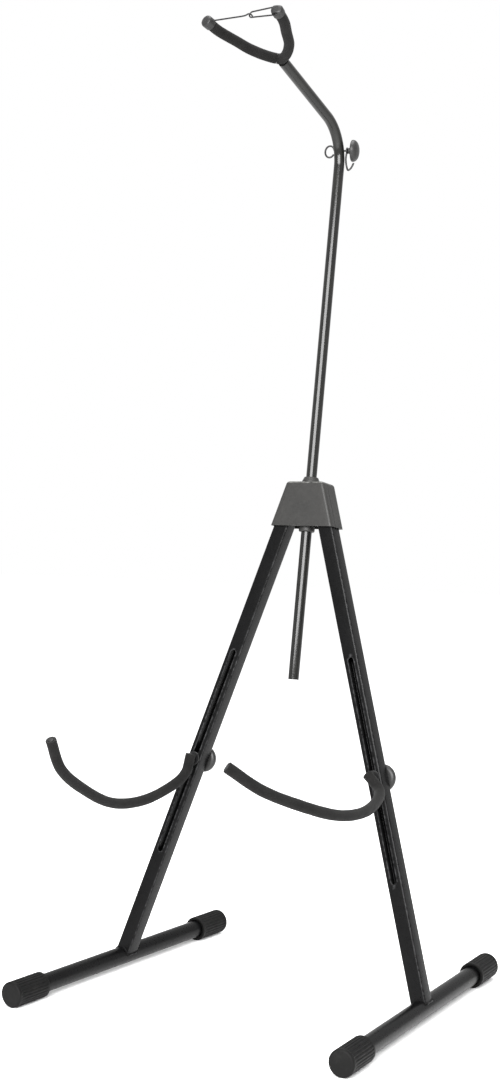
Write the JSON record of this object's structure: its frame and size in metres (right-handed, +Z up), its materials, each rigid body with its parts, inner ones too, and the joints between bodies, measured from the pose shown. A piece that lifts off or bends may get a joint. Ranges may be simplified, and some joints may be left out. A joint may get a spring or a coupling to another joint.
{
  "type": "folding cello stand with bow holder",
  "caption": "Folding A-frame floor stand for a cello: slotted legs on floor tubes, padded body arms, a sliding neck rod with a padded latching yoke, and a bow holder.",
  "frame": {"origin": "centre of the stand's bounding box on the floor plane", "axes": "+X to the stand's right seen from its front, +Y to the back, +Z up; the stand faces -Y"},
  "size_m": [0.5342, 0.5304, 1.3108],
  "materials": {
    "satin_black_steel": "satin black powder coat",
    "gloss_black_steel": "gloss black enamel",
    "black_wire": "blackened wire",
    "plated_steel": "bright zinc plate",
    "ribbed_rubber": "matte moulded rubber",
    "head_plastic": "fine matte moulding",
    "knob_plastic": "matte moulding",
    "foam_sleeve": "closed cell foam with a fine knit skin"
  },
  "bodies": {
    "head": {"head_front": "head_plastic", "head_back": "head_plastic", "pivot_pin_left": "plated_steel", "pivot_pin_right": "plated_steel", "rod_bush": "head_plastic"},
    "leg_left_body": {"leg_left": "satin_black_steel", "foot_tube_left": "satin_black_steel", "foot_cap_left_front": "ribbed_rubber", "foot_cap_left_back": "ribbed_rubber"},
    "leg_right_body": {"leg_right": "satin_black_steel", "foot_tube_right": "satin_black_steel", "foot_cap_right_front": "ribbed_rubber", "foot_cap_right_back": "ribbed_rubber"},
    "rod": {"neck_rod": "gloss_black_steel", "yoke_core": "satin_black_steel", "yoke_foam_left": "foam_sleeve", "yoke_foam_right": "foam_sleeve", "yoke_cap_left": "knob_plastic", "yoke_cap_right": "knob_plastic", "bow_eye": "black_wire"},
    "clamp": {"clamp_knob": "knob_plastic", "clamp_stud": "plated_steel"},
    "bow_hook_body": {"bow_hook": "black_wire"},
    "bow_knob_body": {"bow_knob": "knob_plastic"},
    "latch_hook_body": {"latch_hook": "black_wire"},
    "latch_loop_body": {"latch_loop": "black_wire"},
    "slider_left": {"arm_washer_left": "plated_steel"},
    "slider_right": {"arm_washer_right": "plated_steel"},
    "arm_left": {"arm_bar_left": "satin_black_steel", "arm_foam_left": "foam_sleeve"},
    "arm_right": {"arm_bar_right": "satin_black_steel", "arm_foam_right": "foam_sleeve"},
    "knob_left": {"arm_knob_left": "knob_plastic"},
    "knob_right": {"arm_knob_right": "knob_plastic"}
  },
  "joints": [
    {"name": "leg_left_fold", "type": "hinge", "parent": "head", "child": "leg_left_body", "pos_m": [-0.02762, 0.14931, 0.65567], "axis": [0, -0.9851, 0.1719], "range_deg": [0, 17.5]},
    {"name": "leg_right_fold", "type": "hinge", "parent": "head", "child": "leg_right_body", "pos_m": [0.02762, 0.14931, 0.65567], "axis": [0, 0.9851, -0.1719], "range_deg": [0, 17.5]},
    {"name": "rod_slide", "type": "slide", "parent": "head", "child": "rod", "axis": [0, 0.1719, 0.9851], "range_m": [-0.38, 0.19]},
    {"name": "clamp_turn", "type": "hinge", "parent": "head", "child": "clamp", "pos_m": [0, 0.15248, 0.6622], "axis": [0, 0.9851, -0.1719], "continuous": true},
    {"name": "bow_hook_swing", "type": "hinge", "parent": "rod", "child": "bow_hook_body", "pos_m": [0, 0.24088, 1.1687], "axis": [0.9563, 0.288, -0.0503], "range_deg": [-50, 50]},
    {"name": "bow_knob_turn", "type": "hinge", "parent": "rod", "child": "bow_knob_body", "pos_m": [0, 0.24088, 1.1687], "axis": [0.9563, 0.288, -0.0503], "continuous": true},
    {"name": "latch_hook_open", "type": "hinge", "parent": "rod", "child": "latch_hook_body", "pos_m": [-0.05389, -0.02304, 1.30238], "axis": [0, -0.3387, -0.9409], "range_deg": [0, 80]},
    {"name": "latch_loop_open", "type": "hinge", "parent": "rod", "child": "latch_loop_body", "pos_m": [0.05389, -0.02304, 1.30238], "axis": [0, 0.3387, 0.9409], "range_deg": [0, 80]},
    {"name": "arm_left_slide", "type": "slide", "parent": "leg_left_body", "child": "slider_left", "axis": [0.3078, 0.1636, 0.9373], "range_m": [-0.137, 0.159]},
    {"name": "arm_right_slide", "type": "slide", "parent": "leg_right_body", "child": "slider_right", "axis": [-0.3078, 0.1636, 0.9373], "range_m": [-0.137, 0.159]},
    {"name": "arm_left_swing", "type": "hinge", "parent": "slider_left", "child": "arm_left", "pos_m": [-0.14402, 0.08746, 0.30129], "axis": [0, 0.9851, -0.1719], "range_deg": [-60, 60]},
    {"name": "arm_right_swing", "type": "hinge", "parent": "slider_right", "child": "arm_right", "pos_m": [0.14417, 0.08738, 0.30082], "axis": [0, 0.9851, -0.1719], "range_deg": [-60, 60]},
    {"name": "knob_left_turn", "type": "hinge", "parent": "arm_left", "child": "knob_left", "pos_m": [-0.14402, 0.08746, 0.30129], "axis": [0, 0.9851, -0.1719], "continuous": true},
    {"name": "knob_right_turn", "type": "hinge", "parent": "arm_right", "child": "knob_right", "pos_m": [0.14417, 0.08738, 0.30082], "axis": [0, 0.9851, -0.1719], "continuous": true}
  ]
}
